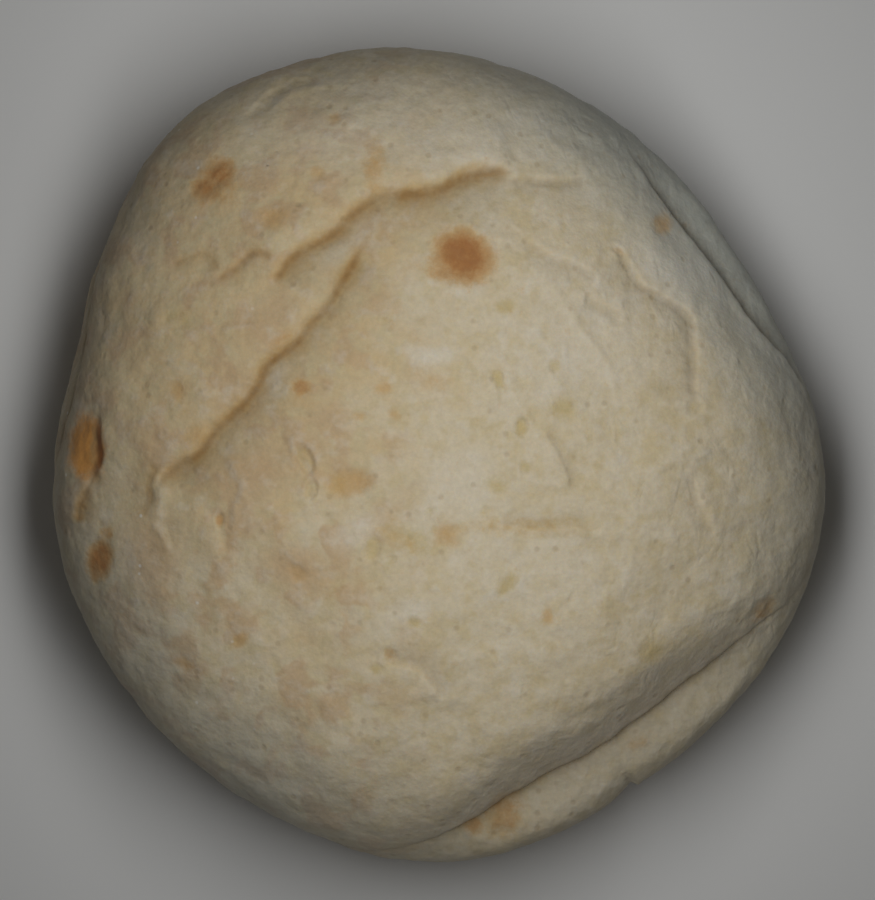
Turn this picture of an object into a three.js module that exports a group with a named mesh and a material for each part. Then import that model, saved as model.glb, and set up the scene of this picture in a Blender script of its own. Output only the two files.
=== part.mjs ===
// Round bread roll: a plump, pale, soft-crusted roll of one piece, lying on its flat underside.
// Its crust has slumped in the oven into a few long folds, and a seam runs round its rim where the
// top skin meets the bottom skin.
//
// Millimetres, +Z up, +Y away from whoever looks down on it. The origin is at the foot of the roll,
// in the middle of its length and width.
//
// The surface is a sphere of directions pressed into the roll's own form: the outline says how far it
// reaches on each bearing, the dome and the underside say how high it is, and folds, seam and swells
// are pushed in or out along the surface's normal.

import * as THREE from "three";
import { mergeVertices } from "three/addons/utils/BufferGeometryUtils.js";

// ---- Driving dimensions -------------------------------------------------------------------------

const HEIGHT = 44.5; // crown above the table, before the centre sinks
const RIM_HEIGHT = 18; // height of the widest level
const DOME_POWER = 2.15; // 2 is an ellipse; more makes a flatter crown and rounder shoulders
const UNDERSIDE_POWER = 4.2; // how long the underside stays flat before it turns up to the rim
const FOOT_PRESS = 1.4; // how deep the underside is pressed flat by the table

// The outline seen from above: [bearing in degrees from +X, radius].
const OUTLINE = [
  [0, 62.1], [28, 58.1], [50, 59.6], [75, 63.0], [100, 66.5], [128, 67.9], [150, 62.9], [166, 60.6],
  [190, 62.4], [215, 62.2], [245, 63.0], [268, 65.0], [290, 63.1], [303, 60.7], [325, 62.0], [342, 62.8],
];

// The rim seam: [bearing, tilt from the crown in degrees, how strongly it shows from 0 to 1]. A tilt of
// 90 is the widest level, less is above it.
const SEAM = [
  [0, 88, 0.15], [10, 82, 0.25], [16, 76, 0.55], [22, 70.5, 0.8], [32, 68, 0.9], [44, 67.5, 0.85],
  [53, 70, 0.6], [61, 76, 0.25], [75, 88, 0.2], [115, 96, 0.15], [150, 82, 0.2], [168, 76, 0.3],
  [186, 86, 0.2], [215, 98, 0.15], [250, 92, 0.15], [266, 74, 0.3], [274, 65, 0.75], [286, 58.8, 1],
  [302, 59.2, 1], [315, 59.5, 1], [324, 62.8, 0.85], [332, 68.5, 0.35], [342, 80, 0.15],
];
const SEAM_FOLD = { rise: 1.3, drop: 1.2, groove: 0.4, slope: 2, cleft: 0.9, reachUp: 9, reachDown: 4 };

// At the seam the whole crust sags by depth: steeply from the dome, over domeReach, and gently from
// the lip that the bottom skin makes, over lipReach.
const SEAM_SAG = { depth: 6, domeReach: 7.5, lipReach: 10 };

// Nicks in the lip's edge: the bearing where each one starts steeply, the side of it that is cut (1
// where bearings grow, else -1), over how many degrees it runs out there, and its depth.
const NICKS = [{ start: -58.3, side: -1, runOut: 2.8, depth: 0.7 }];

// A nick is deepest at a tilt and spreads over reach degrees of tilt. Edge is half of the degrees of
// bearing that its steep start takes.
const NICK_CUT = { tilt: 88, reach: 20, edge: 0.4 };

// Folds in the crust, each along a curve on the plan (x, y). The crust stands proud on the left of the
// way the curve runs, and sinks on its right.
//   rise, drop    how far the two sides stand apart at the fold
//   groove        how deep the cleft between them is
//   slope         over how long the proud side rolls down into the cleft
//   cleft         half the width of the cleft
//   reachUp, reachDown   how far the proud side and the sunken side run out
//   fade          the share of the fold's run over which it dies out at each end
const LONG_FOLD = {
  rise: 2.4, drop: 1.1, groove: 0.4, slope: 1.6, cleft: 0.8, reachUp: 9, reachDown: 4, fade: 0.1,
};
const SHORT_FOLD = {
  rise: 1.2, drop: 0.7, groove: 0.2, slope: 1.4, cleft: 0.7, reachUp: 9, reachDown: 4, fade: 0.14,
};
const WRINKLE = {
  rise: 0.8, drop: 0.4, groove: 0.2, slope: 0.9, cleft: 0.6, reachUp: 3.5, reachDown: 2.5, fade: 0.16,
};

const FOLDS = [
  { name: "crown fold", ...LONG_FOLD,
    path: [[-27, 27.2], [-26, 29.6], [-23.8, 31.8], [-20.9, 34.1], [-17.8, 35.8], [-15.8, 37.6],
      [-13.8, 39.8], [-10.8, 41.8], [-7.8, 42.7], [-3.8, 42.9], [-0.2, 43.5], [3.1, 45], [5.7, 46],
      [8.8, 46.6], [12.5, 46.4]] },
  { name: "crown fold, its run-out", ...SHORT_FOLD,
    path: [[11.4, 45.6], [12.6, 44.7], [14.8, 44.8], [17.7, 44.3], [20.4, 44.3], [23.9, 44.7]] },
  { name: "crown fold, its ripple", ...WRINKLE,
    path: [[-36.4, 29.3], [-33, 29.4], [-29, 32.5], [-26.7, 32.2]] },
  { name: "shoulder fold", ...LONG_FOLD,
    path: [[-45.1, -5.4], [-44.1, -3.6], [-42.7, -2], [-40.5, -0.4], [-38.1, 1.5], [-35.8, 4.4],
      [-33.3, 6.9], [-31.1, 9.2], [-29, 11.9], [-28.1, 13.9], [-26.9, 15.5], [-24.4, 17.1], [-22.3, 19.1],
      [-20.6, 21.4], [-18.2, 24.3], [-16.3, 27.4], [-14.1, 31], [-11.7, 34.5]] },
  { name: "shoulder fold, its branch", ...WRINKLE,
    path: [[-46.2, -9.8], [-45.8, -7.7], [-45.3, -5.8], [-45, -3.8], [-44.7, -2.2]] },
  { name: "left rim fold", ...SHORT_FOLD, rise: 0.4, drop: 0.6,
    path: [[-53.9, 8], [-53.6, 5.3], [-53.4, 3.2], [-53.5, 1], [-53.8, -0.8], [-54.5, -2.4], [-55.8, -4.4]] },
  { name: "left rim fold, its tail", ...WRINKLE,
    path: [[-57.2, -10.6], [-57.4, -7.7], [-57, -5.8], [-55.8, -4.2]] },
  { name: "right fold", ...SHORT_FOLD,
    path: [[28.6, 33.5], [31, 30.6], [32.6, 27.8], [35.9, 25.7], [39.2, 23.6], [40.7, 21.2], [40.6, 18.4],
      [41, 14.8], [40.9, 11.4], [41.2, 8.4]] },
  { name: "inner right wrinkle", ...WRINKLE,
    path: [[13.4, 35.2], [17.6, 32.3], [20.8, 31.2], [23.6, 30], [26.2, 29.3]] },
  { name: "far right wrinkle", ...WRINKLE,
    path: [[40.6, -2.6], [41, -5.4], [42.6, -9.4], [44.6, -13.4]] },
  { name: "middle pleat", ...WRINKLE,
    path: [[23.4, -10.3], [15.8, -11], [9.5, -10.5]] },
  { name: "front wrinkle", ...WRINKLE,
    path: [[0.6, -39], [-0.2, -36.4], [-2.9, -33.6], [-6.6, -32.6], [-9, -31]] },
  { name: "far edge tuck", ...WRINKLE,
    path: [[-30.5, 53.6], [-27.2, 57.4], [-23.4, 59.9], [-18.6, 61]] },
];

// Broad swells and hollows of the loaf: [x, y, radius, height].
const SWELLS = [
  [3, 2, 30, -1.3], [-45, 16, 13, 0.9], [-30, 44, 14, 0.8], [12, 56, 14, 0.7], [46, 6, 14, 0.8],
  [-14, -44, 18, 0.9], [-38, -28, 14, 0.4], [20, -24, 15, 0.5],
];

// Wavelengths and heights of the slight unevenness all over the crust.
const UNEVENNESS = [
  { length: 41, height: 0.3, turn: 0.4 },
  { length: 27, height: 0.22, turn: 1.7 },
  { length: 17, height: 0.14, turn: 2.9 },
];

// Longest edge of a facet: on the dome, on the side and underside, on the flat foot, and up to
// foldReach from a fold or the seam, past which it grows over foldBlend.
const FACET = { dome: 4.8, side: 6.2, foot: 11, fold: 2.1, foldReach: 1.5, foldBlend: 5 };

const CRUST_COLOUR = 0xd9c7a0;

// ---- Interpolation ------------------------------------------------------------------------------

const smoothStep = (t) => THREE.MathUtils.smoothstep(t, 0, 1);

// The value in column `column` of a table of [bearing, ...values] rows at any bearing, on a smooth
// closed curve through the rows.
function around(table, bearing, column = 1) {
  const turn = THREE.MathUtils.euclideanModulo(bearing, 360);
  const count = table.length;
  const row = (i) => {
    const lap = Math.floor(i / count);
    const [knot] = table[i - lap * count];
    return [knot + 360 * lap, table[i - lap * count][column]];
  };
  let i = count - 1;
  while (i >= 0 && table[i][0] > turn) i -= 1;
  const [before, from, to, after] = [row(i - 1), row(i), row(i + 1), row(i + 2)];
  const span = to[0] - from[0];
  const slopeIn = ((to[1] - before[1]) / (to[0] - before[0])) * span;
  const slopeOut = ((after[1] - from[1]) / (after[0] - from[0])) * span;
  const t = (turn - from[0]) / span;
  const step = to[1] - from[1];
  const bend = 3 * step - 2 * slopeIn - slopeOut;
  const twist = slopeIn + slopeOut - 2 * step;
  return from[1] + t * (slopeIn + t * (bend + t * twist));
}

// ---- The plain loaf -----------------------------------------------------------------------------

// Height of the loaf at a share of the way from its middle to its outline, above or under the rim.
function loafHeight(share, above) {
  if (above) return RIM_HEIGHT + (HEIGHT - RIM_HEIGHT) * Math.sqrt(Math.max(0, 1 - share ** DOME_POWER));
  const bowl = 1 - Math.sqrt(Math.max(0, 1 - share ** UNDERSIDE_POWER));
  return Math.max(0, (RIM_HEIGHT + FOOT_PRESS) * bowl - FOOT_PRESS);
}

// The point of the plain loaf in a direction given by its tilt from the crown and its bearing, both
// in degrees.
function loafPoint(tilt, bearing) {
  const lean = THREE.MathUtils.degToRad(tilt);
  const turn = THREE.MathUtils.degToRad(bearing);
  const share = Math.sin(lean);
  const radius = share * around(OUTLINE, bearing);
  return new THREE.Vector3(radius * Math.cos(turn), radius * Math.sin(turn), loafHeight(share, tilt < 90));
}

const tiltOf = (direction) => THREE.MathUtils.radToDeg(Math.acos(THREE.MathUtils.clamp(direction.z, -1, 1)));
const bearingOf = (direction) => THREE.MathUtils.radToDeg(Math.atan2(direction.y, direction.x));
const onLoaf = (direction) => loafPoint(tiltOf(direction), bearingOf(direction));

// The plain loaf's normal, from four neighbouring directions.
function loafNormal(direction) {
  const NUDGE = 0.01;
  const side = new THREE.Vector3(-direction.y, direction.x, 0);
  if (side.length() < NUDGE) side.set(1, 0, 0);
  side.normalize();
  const up = new THREE.Vector3().crossVectors(direction, side);
  const moved = (axis, by) => onLoaf(direction.clone().addScaledVector(axis, by).normalize());
  const across = moved(side, NUDGE).sub(moved(side, -NUDGE));
  const along = moved(up, NUDGE).sub(moved(up, -NUDGE));
  return across.cross(along).normalize();
}

// ---- Folds, seam and swells ---------------------------------------------------------------------

// How far the crust moves out at a signed distance from a fold, positive on the proud side.
function foldRelief(distance, { rise, drop, groove, slope, cleft, reachUp, reachDown }) {
  const away = Math.abs(distance);
  const proud = rise * (1 - Math.exp(-away / slope)) * Math.exp(-away / reachUp);
  const sunken = -drop * Math.exp(-away / reachDown);
  const side = THREE.MathUtils.smoothstep(distance, -cleft, cleft);
  return side * proud + (1 - side) * sunken - groove * Math.exp(-((distance / cleft) ** 2));
}

// Each fold's path as short straight lengths, with how far along each one starts.
const foldLines = FOLDS.map((fold) => {
  const curve = new THREE.SplineCurve(fold.path.map(([x, y]) => new THREE.Vector2(x, y)));
  return { fold, points: curve.getSpacedPoints(Math.ceil(curve.getLength())) };
});

// The signed distance from a plan point to a fold's line, and the share of the line's run there.
function nearestOn(points, x, y) {
  let best = { distance: Infinity, share: 0 };
  for (let i = 0; i + 1 < points.length; i += 1) {
    const [a, b] = [points[i], points[i + 1]];
    const [runX, runY] = [b.x - a.x, b.y - a.y];
    const t = THREE.MathUtils.clamp(((x - a.x) * runX + (y - a.y) * runY) / (runX ** 2 + runY ** 2), 0, 1);
    const distance = Math.hypot(x - a.x - t * runX, y - a.y - t * runY);
    if (distance < Math.abs(best.distance)) {
      const left = runX * (y - a.y) - runY * (x - a.x) >= 0;
      best = { distance: left ? distance : -distance, share: (i + t) / (points.length - 1) };
    }
  }
  return best;
}

// What is left of a fold's relief at a share of its run.
const runFade = (share, fade) => smoothStep(share / fade) * smoothStep((1 - share) / fade);

// Distance along the loaf's side from the seam, positive above it.
function seamDistance(tilt, bearing) {
  const seamTilt = around(SEAM, bearing);
  const away = loafPoint(tilt, bearing).distanceTo(loafPoint(seamTilt, bearing));
  return tilt < seamTilt ? away : -away;
}

function seamRelief(tilt, bearing) {
  return around(SEAM, bearing, 2) * foldRelief(seamDistance(tilt, bearing), SEAM_FOLD);
}

// How far the crust sags towards the seam, straight down.
function seamSag(tilt, bearing) {
  const distance = seamDistance(tilt, bearing);
  const reach = distance > 0 ? SEAM_SAG.domeReach : SEAM_SAG.lipReach;
  return around(SEAM, bearing, 2) * SEAM_SAG.depth * Math.exp(-((distance / reach) ** 2));
}

// Degrees of bearing past the start of a nick on its cut side, from -180 to 180.
const pastNick = ({ start, side }, bearing) =>
  side * (THREE.MathUtils.euclideanModulo(bearing - start + 180, 360) - 180);

function nickRelief(tilt, bearing) {
  const spread = Math.exp(-(((tilt - NICK_CUT.tilt) / NICK_CUT.reach) ** 2));
  let height = 0;
  for (const nick of NICKS) {
    const past = pastNick(nick, bearing);
    const start = THREE.MathUtils.smoothstep(past, -NICK_CUT.edge, NICK_CUT.edge);
    height -= nick.depth * start * Math.exp(-Math.max(0, past) / nick.runOut) * spread;
  }
  return height;
}

// Swells, unevenness and folds together at a plan point of the dome.
function domeRelief({ x, y }) {
  let height = 0;
  for (const [cx, cy, radius, rise] of SWELLS) {
    height += rise * Math.exp(-((x - cx) ** 2 + (y - cy) ** 2) / radius ** 2);
  }
  for (const { length, height: rise, turn } of UNEVENNESS) {
    const wave = (2 * Math.PI) / length;
    const along = x * Math.cos(turn) + y * Math.sin(turn);
    const across = y * Math.cos(turn) - x * Math.sin(turn);
    height += rise * Math.sin(wave * along + turn) * Math.cos(wave * across - turn);
  }
  for (const { fold, points } of foldLines) {
    const { distance, share } = nearestOn(points, x, y);
    height += runFade(share, fold.fade) * foldRelief(distance, fold);
  }
  return height;
}

// The dome's relief fades out between these tilts, down to the widest level.
const DOME_FADE = { from: 74, to: 90 };

const isOnFoot = (tilt, point) => tilt > 90 && point.z === 0;

// The finished surface in a direction. The foot stays flat.
function crustPoint(direction) {
  const [tilt, bearing] = [tiltOf(direction), bearingOf(direction)];
  const point = loafPoint(tilt, bearing);
  if (isOnFoot(tilt, point)) return point;
  const domeShare = 1 - THREE.MathUtils.smoothstep(tilt, DOME_FADE.from, DOME_FADE.to);
  const relief = seamRelief(tilt, bearing) + nickRelief(tilt, bearing) + domeShare * domeRelief(point);
  point.addScaledVector(loafNormal(direction), relief);
  point.z -= seamSag(tilt, bearing);
  point.z = Math.max(0, point.z);
  return point;
}

// ---- Facets -------------------------------------------------------------------------------------

// Signed distances from every fold, from the seam and from every nick at a direction. A fold has none
// past its ends, and a nick none where it has run out.
function creaseDistances(direction) {
  const [tilt, bearing] = [tiltOf(direction), bearingOf(direction)];
  const point = loafPoint(tilt, bearing);
  const distances = foldLines.map(({ points }) => {
    if (tilt > DOME_FADE.to) return Infinity;
    const { distance, share } = nearestOn(points, point.x, point.y);
    return share > 0 && share < 1 ? distance : Infinity;
  });
  const radius = Math.hypot(point.x, point.y);
  const nickDistances = NICKS.map((nick) => {
    const past = pastNick(nick, bearing);
    const runsOut = Math.abs(tilt - NICK_CUT.tilt) > NICK_CUT.reach || Math.abs(past) > nick.runOut;
    return runsOut ? Infinity : THREE.MathUtils.degToRad(past) * radius;
  });
  return [...distances, seamDistance(tilt, bearing), ...nickDistances];
}

// The longest edge that is wanted at a direction.
function facetLength(direction) {
  const tilt = tiltOf(direction);
  if (isOnFoot(tilt, onLoaf(direction))) return FACET.foot;
  const near = Math.min(...creaseDistances(direction).map(Math.abs));
  const plain = tilt < DOME_FADE.from ? FACET.dome : FACET.side;
  return THREE.MathUtils.lerp(FACET.fold, plain, smoothStep((near - FACET.foldReach) / FACET.foldBlend));
}

// Cuts every edge at the share that cutAt(a, b) gives, where it gives one. A face is cut into two,
// three or four, by how many of its edges are.
function cutEdges(faces, directions, cutAt) {
  const cuts = new Map();
  const cutOf = (a, b) => {
    const [from, to] = a < b ? [a, b] : [b, a];
    const key = `${from},${to}`;
    if (!cuts.has(key)) {
      const share = cutAt(from, to);
      const place = share && directions[from].clone().lerp(directions[to], share).normalize();
      cuts.set(key, place ? directions.push(place) - 1 : null);
    }
    return cuts.get(key);
  };
  return faces.flatMap(([a, b, c]) => splitFace([a, b, c], [cutOf(a, b), cutOf(b, c), cutOf(c, a)]));
}

function splitFace(corners, cuts) {
  const isCut = (i) => cuts[i % 3] !== null;
  const count = [0, 1, 2].filter(isCut).length;
  if (count === 0) return [corners];
  // Turned so that its first edge is cut and, of two cut edges, the second is the other.
  const first = [0, 1, 2].find((i) => isCut(i) && (count !== 2 || isCut(i + 1)));
  const [a, b, c] = [0, 1, 2].map((i) => corners[(i + first) % 3]);
  const [ab, bc, ca] = [0, 1, 2].map((i) => cuts[(i + first) % 3]);
  if (count === 1) return [[a, ab, c], [ab, b, c]];
  if (count === 2) return [[a, ab, c], [ab, b, bc], [ab, bc, c]];
  return [[a, ab, ca], [ab, b, bc], [bc, c, ca], [ab, bc, ca]];
}

// Halves every edge that is longer than is wanted there, until none is.
function halved(faces, directions) {
  const wanted = [];
  const places = [];
  let [before, after] = [[], faces];
  while (after.length > before.length) {
    for (let i = wanted.length; i < directions.length; i += 1) {
      wanted.push(facetLength(directions[i]));
      places.push(onLoaf(directions[i]));
    }
    before = after;
    const isLong = (a, b) => places[a].distanceTo(places[b]) > (wanted[a] + wanted[b]) / 2;
    after = cutEdges(before, directions, (a, b) => (isLong(a, b) ? 0.5 : null));
  }
  return after;
}

// Cuts the edges that cross a fold or the seam, so that an unbroken line of edges runs down each. An
// edge that ends almost on the line is left, as its end then stands for the crossing.
function cutAlongCreases(faces, directions) {
  const NEAR_END = 0.2;
  const distances = directions.map(creaseDistances);
  return cutEdges(faces, directions, (a, b) => {
    for (let line = 0; line < distances[a].length; line += 1) {
      const [da, db] = [distances[a][line], distances[b][line]];
      const share = da / (da - db);
      if (da * db < 0 && share > NEAR_END && share < 1 - NEAR_END) return share;
    }
    return null;
  });
}

// ---- The roll -----------------------------------------------------------------------------------

function rollGeometry() {
  const ball = new THREE.IcosahedronGeometry(1, 8);
  ball.deleteAttribute("normal");
  ball.deleteAttribute("uv");
  const merged = mergeVertices(ball, 1e-4);
  const corner = merged.getAttribute("position");
  const directions = Array.from({ length: corner.count }, (_, i) =>
    new THREE.Vector3().fromBufferAttribute(corner, i).normalize());
  const index = merged.getIndex().array;
  const triangles = Array.from({ length: index.length / 3 }, (_, i) => [...index.subarray(3 * i, 3 * i + 3)]);
  const faces = cutAlongCreases(halved(triangles, directions), directions);
  const geometry = new THREE.BufferGeometry().setFromPoints(directions.map(crustPoint));
  geometry.setIndex(faces.flat());
  geometry.computeBoundingBox();
  const middle = geometry.boundingBox.getCenter(new THREE.Vector3());
  geometry.translate(-middle.x, -middle.y, -geometry.boundingBox.min.z);
  geometry.computeVertexNormals();
  return geometry;
}

const crust = new THREE.MeshStandardMaterial({ color: CRUST_COLOUR, roughness: 0.85, metalness: 0 });
const roll = new THREE.Mesh(rollGeometry(), crust);
roll.name = "bread_roll";

const part = new THREE.Group();
part.add(roll);

export default part;
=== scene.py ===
"""The looks of a soft round bread roll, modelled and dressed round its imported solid.

The roll's own sizes are in millimetres, as bakers and rulers have them, about the middle of the
photograph's outline. Everything that goes into a mesh is turned into metres by MM.
"""

import logging
import math
from dataclasses import dataclass, field
from enum import Enum
from functools import cached_property

import bpy
import numpy as np
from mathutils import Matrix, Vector, noise


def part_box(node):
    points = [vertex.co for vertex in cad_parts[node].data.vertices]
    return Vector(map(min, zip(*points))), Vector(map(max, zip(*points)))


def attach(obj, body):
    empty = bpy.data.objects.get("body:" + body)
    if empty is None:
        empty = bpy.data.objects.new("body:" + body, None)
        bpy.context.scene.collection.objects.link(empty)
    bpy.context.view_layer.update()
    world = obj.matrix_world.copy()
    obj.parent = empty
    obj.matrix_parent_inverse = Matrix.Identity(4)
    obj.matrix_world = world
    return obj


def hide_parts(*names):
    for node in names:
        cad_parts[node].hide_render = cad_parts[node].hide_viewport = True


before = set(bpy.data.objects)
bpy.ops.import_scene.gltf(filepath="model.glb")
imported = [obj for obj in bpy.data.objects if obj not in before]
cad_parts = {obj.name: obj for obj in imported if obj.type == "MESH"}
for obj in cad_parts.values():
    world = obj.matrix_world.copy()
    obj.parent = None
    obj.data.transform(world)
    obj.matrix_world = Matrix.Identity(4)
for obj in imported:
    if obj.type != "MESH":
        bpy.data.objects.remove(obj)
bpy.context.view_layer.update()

log = logging.getLogger("bread_roll")

MM = 0.001
NODE = "bread_roll"
BODY = "root"

Array = np.ndarray
Rows = tuple[tuple[float, ...], ...]
Rgb = tuple[int, int, int]
Socket = bpy.types.NodeSocket
Piece = bpy.types.Object
Layer = tuple[Socket, Rgb]


def smooth_step(low: float, high: float, value: Array) -> Array:
    """Rises smoothly from 0 to 1 between two values.

    Args:
        low: Where the rise starts.
        high: Where it ends. It may lie under low, and the step then falls.
        value: The values to step.

    Returns:
        The step at each value.
    """
    share = np.clip((value - low) / (high - low), 0.0, 1.0)
    return share * share * (3.0 - 2.0 * share)


def bell(value: Array, width: float | Array) -> Array:
    """Gives a bell curve: 1 at 0, and about a third one width away."""
    return np.exp(-((value / width) ** 2))


def mound(plan: Array, x: float, y: float, radius: float) -> Array:
    """Gives a round mound on the plan: 1 in its middle, and about a third one radius away."""
    return np.exp(-((plan[:, 0] - x) ** 2 + (plan[:, 1] - y) ** 2) / radius**2)


def turned(x: Array, y: Array, turn: float) -> tuple[Array, Array]:
    """Gives how far plan points lie along and across a direction, which is turned from +X in radians."""
    return x * math.cos(turn) + y * math.sin(turn), y * math.cos(turn) - x * math.sin(turn)


def glide(start: Array, end: Array, slope_in: Array, slope_out: Array, share: Array) -> Array:
    """Runs smoothly from one value to another.

    Args:
        start: The value at share 0.
        end: The value at share 1.
        slope_in: How steeply it starts, for the whole run.
        slope_out: How steeply it ends, for the whole run.
        share: How far along the run it is read.

    Returns:
        The value at each share.
    """
    step = end - start
    bend, twist = 3 * step - 2 * slope_in - slope_out, slope_in + slope_out - 2 * step
    return start + share * (slope_in + share * (bend + share * twist))


def linear(colour: Rgb) -> tuple[float, float, float, float]:
    """Turns a colour as a paint chart gives it into a linear one.

    Args:
        colour: Red, green and blue, from 0 to 255.

    Returns:
        The linear colour, opaque.
    """
    shares = (channel / 255.0 for channel in colour)
    knee, foot, gamma, lift = 0.04045, 12.92, 2.4, 0.055
    lit = [s / foot if s <= knee else ((s + lift) / (1 + lift)) ** gamma for s in shares]
    return (lit[0], lit[1], lit[2], 1.0)


# ---- The plain loaf ------------------------------------------------------------------------------


@dataclass(frozen=True)
class Round:
    """Sizes that change smoothly round the roll, in rows of a bearing and the sizes there."""

    rows: Rows

    def at(self, bearing: Array, column: int = 1) -> Array:
        """Gives a size at any bearing, on a smooth closed curve through the rows.

        Args:
            bearing: Bearings in degrees from +X.
            column: Which size of each row.

        Returns:
            The size at each bearing.
        """
        knots = np.array([row[0] for row in self.rows])
        sizes = np.array([row[column] for row in self.rows])
        count = len(knots)
        turn = np.mod(bearing, 360.0)
        start = np.searchsorted(knots, turn, side="right") - 1
        place = [knots[(start + k) % count] + 360.0 * ((start + k) // count) for k in (-1, 0, 1, 2)]
        size = [sizes[(start + k) % count] for k in (-1, 0, 1, 2)]
        span = place[2] - place[1]
        slope_in = (size[2] - size[0]) / (place[2] - place[0]) * span
        slope_out = (size[3] - size[1]) / (place[3] - place[1]) * span
        share = (turn - place[1]) / span
        return glide(size[1], size[2], slope_in, slope_out, share)


@dataclass(frozen=True)
class Loaf:
    """The roll without its folds: an outline, a dome, and an underside that is flat in its middle."""

    height: float = 44.5
    rim_height: float = 18.0
    dome_power: float = 2.15
    underside_power: float = 4.2
    foot_press: float = 1.4
    outline: Round = Round((
        (0, 62.1), (28, 58.1), (50, 59.6), (75, 63.0), (100, 66.5), (128, 67.9), (150, 62.9),
        (166, 60.6), (190, 62.4), (215, 62.2), (245, 63.0), (268, 65.0), (290, 63.1), (303, 61.6),
        (325, 62.0), (342, 62.8),
    ))

    @staticmethod
    def tilt(directions: Array) -> Array:
        """Gives the angle of directions from the crown, in degrees."""
        return np.degrees(np.arccos(np.clip(directions[:, 2], -1.0, 1.0)))

    @staticmethod
    def bearing(directions: Array) -> Array:
        """Gives the angle of directions from +X, in degrees."""
        return np.degrees(np.arctan2(directions[:, 1], directions[:, 0]))

    def points(self, tilt: Array, bearing: Array) -> Array:
        """Finds the loaf's surface.

        Args:
            tilt: Angles from the crown, in degrees.
            bearing: Angles from +X, in degrees.

        Returns:
            A point for each pair, in millimetres.
        """
        share = np.sin(np.radians(tilt))
        radius = share * self.outline.at(bearing)
        dome = np.sqrt(np.maximum(0.0, 1.0 - share**self.dome_power))
        bowl = 1.0 - np.sqrt(np.maximum(0.0, 1.0 - share**self.underside_power))
        over = self.rim_height + (self.height - self.rim_height) * dome
        under = np.maximum(0.0, (self.rim_height + self.foot_press) * bowl - self.foot_press)
        turn = np.radians(bearing)
        height = np.where(tilt < 90.0, over, under)
        return np.stack([radius * np.cos(turn), radius * np.sin(turn), height], 1)

    def on(self, directions: Array) -> Array:
        """Finds the loaf's surface in unit directions from its middle."""
        return self.points(self.tilt(directions), self.bearing(directions))

    def normals(self, directions: Array) -> Array:
        """Finds the way out of the loaf's surface.

        Args:
            directions: Unit directions from the middle.

        Returns:
            The unit normal for each direction.
        """
        nudge = 0.01
        side = np.stack([-directions[:, 1], directions[:, 0], np.zeros(len(directions))], 1)
        side[np.linalg.norm(side, axis=1) < nudge] = (1.0, 0.0, 0.0)
        side /= np.linalg.norm(side, axis=1)[:, None]
        up = np.cross(directions, side)

        def moved(axis: Array, by: float) -> Array:
            """Finds the surface a little to one side of each direction."""
            turned = directions + by * axis
            return self.on(turned / np.linalg.norm(turned, axis=1)[:, None])

        out = np.cross(moved(side, nudge) - moved(side, -nudge), moved(up, nudge) - moved(up, -nudge))
        return out / np.linalg.norm(out, axis=1)[:, None]


# ---- Folds, seam, swells and spots ---------------------------------------------------------------

# How a crease marks the crust: the brown line in its cleft, the tinge beside that, the dark bottom of
# the cleft, which is browned crust with painted crevice shadow, the floury crest, and the painted shade
# on the sunken side.
MARKS = ("cleft", "tinge", "deep", "crest", "shade")

# Where those marks start and end, in millimetres from the crease's line, sunken side negative.
SHADE_EDGE = (0.5, -0.3)
CLEFT_EDGES = ((-1.3, -0.3), (0.7, 0.0))
TINGE_EDGES = ((-3.4, -0.4), (1.8, 0.2))

# Where the flour on a crest thins out, in shares of the crest's reach.
DUST_EDGE = (0.7, 0.2)


@dataclass(frozen=True)
class Crease:
    """How a fold's two sides stand to each other, in millimetres.

    The proud side rises by rise over slope and runs out over reach_up. The sunken side lies drop
    lower and runs out over reach_down. Between them is a cleft of half width cleft, groove deep,
    which lies lean to the sunken side of the fold's line. Tint is how browned the fold is, dust is
    how floury its proud side is, and deep is how dark brown the cleft's bottom is: browned crust with
    painted shadow of the crevice on it. The sunken side has painted shade, darker by shade, over
    shade_reach.
    """

    rise: float
    drop: float
    groove: float
    slope: float
    cleft: float
    reach_up: float
    reach_down: float
    tint: float = 1.0
    dust: float = 0.5
    shade: float = 0.0
    shade_reach: float = 1.0
    lean: float = 0.0
    deep: float = 0.0

    def relief(self, distance: Array) -> Array:
        """Finds how far the crust moves out.

        Args:
            distance: Signed distances from the fold, proud side positive.

        Returns:
            The move out of the plain loaf at each distance.
        """
        distance = distance + self.lean
        away = np.abs(distance)
        proud = self.rise * (1.0 - np.exp(-away / self.slope)) * np.exp(-away / self.reach_up)
        sunken = -self.drop * np.exp(-away / self.reach_down)
        side = smooth_step(-self.cleft, self.cleft, distance)
        return side * proud + (1.0 - side) * sunken - self.groove * bell(distance, self.cleft)

    def shading(self, distance: Array) -> Array:
        """Finds the painted shade on the crust: most at the line, less and less into the sunken side.

        Args:
            distance: Signed distances from the fold, proud side positive.

        Returns:
            The share by which the crust is painted darker at each distance.
        """
        distance = distance + self.lean
        fall = np.exp(-np.maximum(0.0, -distance) / self.shade_reach)
        return self.shade * smooth_step(*SHADE_EDGE, distance) * fall

    def dusting(self, distance: Array) -> Array:
        """Gives how floury the crest of the proud side is at signed distances from the cleft."""
        rise = smooth_step(-self.cleft / 2, self.slope, distance)
        return self.dust * rise * smooth_step(*DUST_EDGE, distance / self.reach_up)

    def marks(self, distance: Array) -> dict[str, Array]:
        """Finds how the crease marks the crust.

        Args:
            distance: Signed distances from the fold, proud side positive.

        Returns:
            The strength of each mark at each distance.
        """
        leaned = distance + self.lean
        cleft, tinge = (smooth_step(*low, leaned) * smooth_step(*high, leaned)
                        for low, high in (CLEFT_EDGES, TINGE_EDGES))
        return {"cleft": self.tint * cleft, "tinge": self.tint * tinge, "deep": self.deep * cleft,
                "crest": self.dusting(leaned), "shade": self.shading(distance)}


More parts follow.
